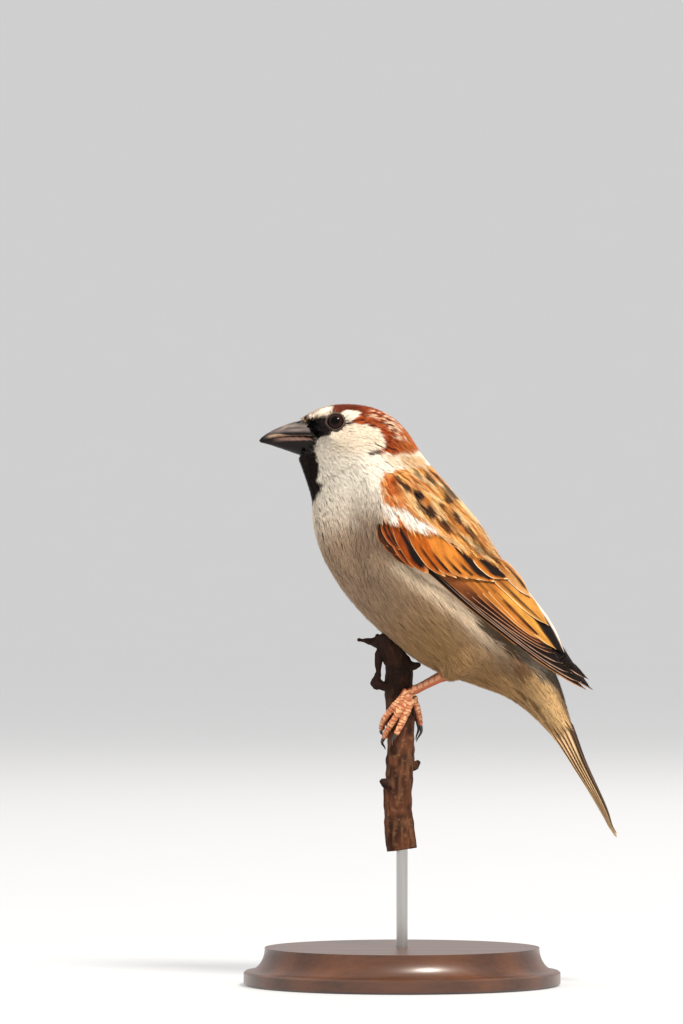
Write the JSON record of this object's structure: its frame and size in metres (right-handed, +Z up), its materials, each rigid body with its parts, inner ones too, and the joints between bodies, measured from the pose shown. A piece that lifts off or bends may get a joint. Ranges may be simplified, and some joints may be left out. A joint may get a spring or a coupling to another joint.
{
  "type": "house sparrow model",
  "caption": "Life-size still model of a male house sparrow gripping a short upright branch, held by one rod on a round wooden base.",
  "frame": {"origin": "centre of the flat underside of the round base", "axes": "+Z up, -X the way the bird faces, -Y the bird's left side; the bird's mirror plane is Y = 0"},
  "size_m": [0.0991, 0.084, 0.1541],
  "materials": {
    "head_plumage": "short dense feathers, chestnut, pale grey and black",
    "body_plumage": "soft loose feathers, buff grey",
    "wing_coverts": "overlapping feathers, orange-brown with dark centres and a white bar",
    "flight_feathers": "stiff dark brown vanes with narrow buff edges",
    "bill_horn": "smooth dark horn, satin",
    "eye": "wet gloss",
    "leg_skin": "scaled skin, orange-pink",
    "claw_horn": "smooth dark horn",
    "bark": "rough grey-brown bark",
    "rod_steel": "brushed",
    "base_wood": "dark stained, waxed"
  },
  "bodies": {
    "root": {"head": "head_plumage", "neck": "body_plumage", "trunk": "body_plumage", "rump": "body_plumage", "tail": "flight_feathers", "wing_left_coverts": "wing_coverts", "wing_left_flight": "flight_feathers", "wing_right_coverts": "wing_coverts", "wing_right_flight": "flight_feathers", "thigh_left": "body_plumage", "thigh_right": "body_plumage", "bill_upper": "bill_horn", "bill_lower": "bill_horn", "eye_left": "eye", "eye_right": "eye", "tarsus_left": "leg_skin", "tarsus_right": "leg_skin", "foot_left": "leg_skin", "foot_right": "leg_skin", "claw_toe2_left": "claw_horn", "claw_toe3_left": "claw_horn", "claw_toe4_left": "claw_horn", "claw_hallux_left": "claw_horn", "claw_toe2_right": "claw_horn", "claw_toe3_right": "claw_horn", "claw_toe4_right": "claw_horn", "claw_hallux_right": "claw_horn", "perch": "bark", "stand_rod": "rod_steel", "stand_base": "base_wood"}
  },
  "joints": []
}
